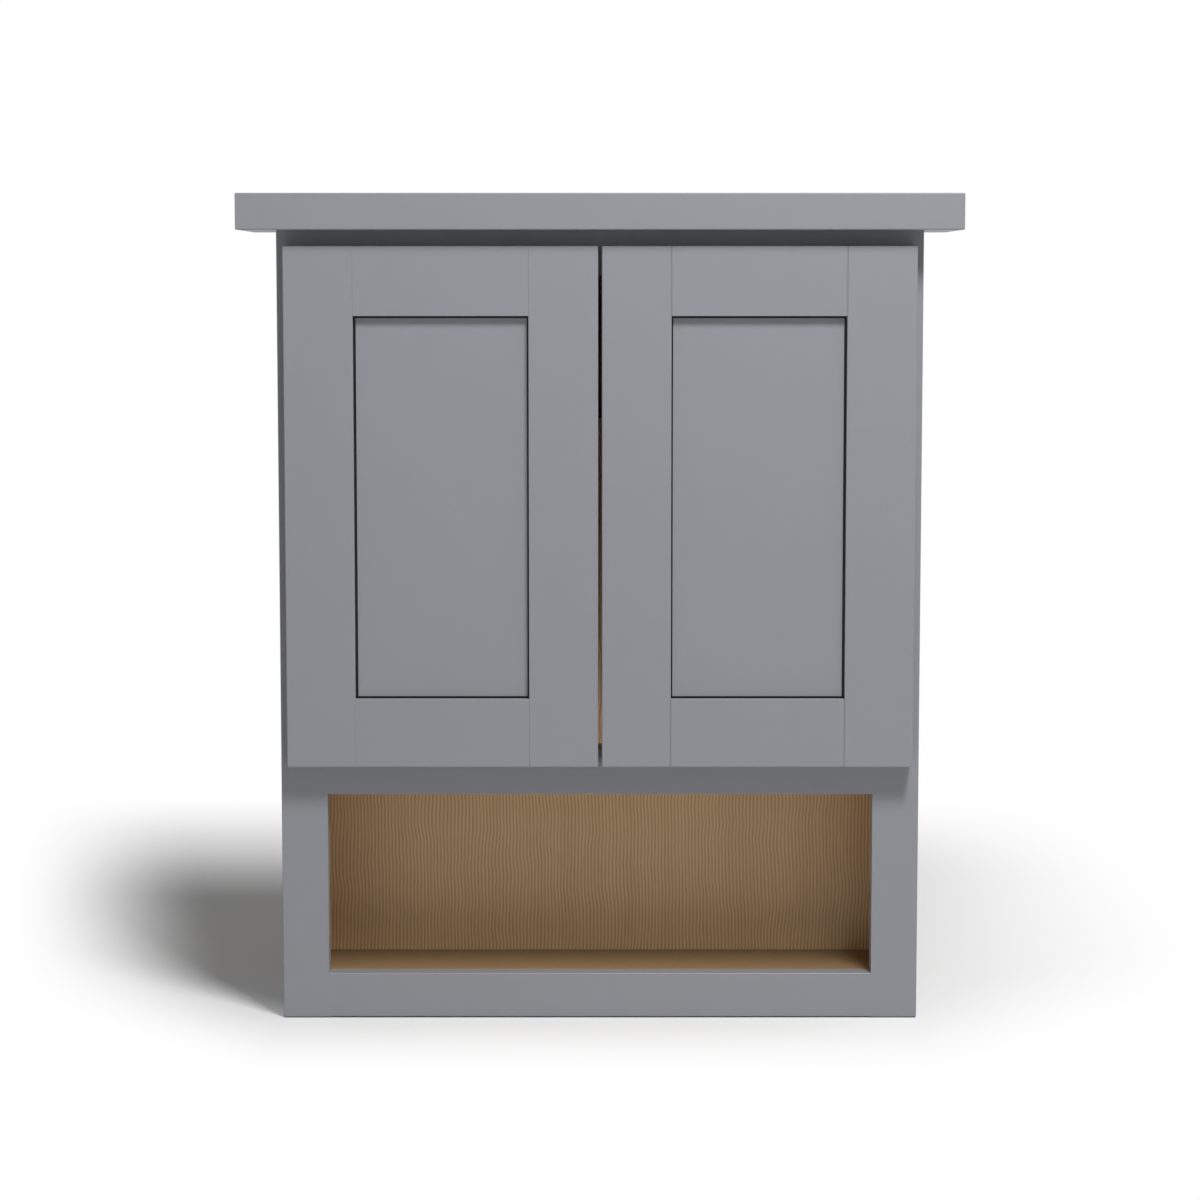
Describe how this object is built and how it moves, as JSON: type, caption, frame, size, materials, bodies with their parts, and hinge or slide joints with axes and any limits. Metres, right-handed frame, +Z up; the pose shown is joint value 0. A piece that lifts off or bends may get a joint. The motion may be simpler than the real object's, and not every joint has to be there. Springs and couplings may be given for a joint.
{
  "type": "medicine cabinet",
  "caption": "Shallow painted bathroom wall cabinet: framed doors on concealed hinges, an adjustable shelf inside, an open wood-lined niche below and a square crown on top.",
  "frame": {"origin": "on the floor under the middle of the closed cabinet's bounding box", "axes": "+X to the right seen from the front, +Y from the doors to the wall, +Z up"},
  "size_m": [0.6786, 0.1616, 0.7872],
  "materials": {
    "grey_paint": "cool mid-grey satin paint on wood",
    "wood_veneer": "clear matt lacquer on brown wood veneer",
    "bare_wood": "unfinished",
    "hinge_steel": "nickel plated",
    "screw_steel": "zinc plated",
    "bumper_rubber": "soft, translucent grey",
    "pin_plastic": "moulded, beige"
  },
  "bodies": {
    "cabinet": {"arm_screws": "screw_steel", "back_panel": "wood_veneer", "bottom_frame_rail": "grey_paint", "crown_blocks": "bare_wood", "crown_front": "grey_paint", "deck_board": "wood_veneer", "frame_dowels": "bare_wood", "left_crown_return": "grey_paint", "left_frame_stile": "grey_paint", "left_lower_hinge_arm": "hinge_steel", "left_side": "grey_paint", "left_upper_hinge_arm": "hinge_steel", "lower_hanging_rail": "bare_wood", "middle_frame_rail": "grey_paint", "niche_floor": "wood_veneer", "right_crown_return": "grey_paint", "right_frame_stile": "grey_paint", "right_lower_hinge_arm": "hinge_steel", "right_side": "grey_paint", "right_upper_hinge_arm": "hinge_steel", "shelf": "wood_veneer", "shelf_pins": "pin_plastic", "top_board": "wood_veneer", "top_frame_rail": "grey_paint", "upper_hanging_rail": "bare_wood"},
    "left_door": {"left_cup_screws": "screw_steel", "left_door_bottom_rail": "grey_paint", "left_door_bumpers": "bumper_rubber", "left_door_hinge_stile": "grey_paint", "left_door_lock_stile": "grey_paint", "left_door_panel": "grey_paint", "left_door_top_rail": "grey_paint", "left_hinge_pins": "hinge_steel", "left_lower_hinge_cup": "hinge_steel", "left_upper_hinge_cup": "hinge_steel"},
    "right_door": {"right_cup_screws": "screw_steel", "right_door_bottom_rail": "grey_paint", "right_door_bumpers": "bumper_rubber", "right_door_hinge_stile": "grey_paint", "right_door_lock_stile": "grey_paint", "right_door_panel": "grey_paint", "right_door_top_rail": "grey_paint", "right_hinge_pins": "hinge_steel", "right_lower_hinge_cup": "hinge_steel", "right_upper_hinge_cup": "hinge_steel"}
  },
  "joints": [
    {"name": "left_door_swing", "type": "hinge", "parent": "cabinet", "child": "left_door", "pos_m": [-0.2895, -0.05925, 0.4923], "axis": [0, 0, -1], "range_deg": [0, 100]},
    {"name": "right_door_swing", "type": "hinge", "parent": "cabinet", "child": "right_door", "pos_m": [0.2895, -0.05925, 0.4923], "axis": [0, 0, 1], "range_deg": [0, 100]}
  ]
}
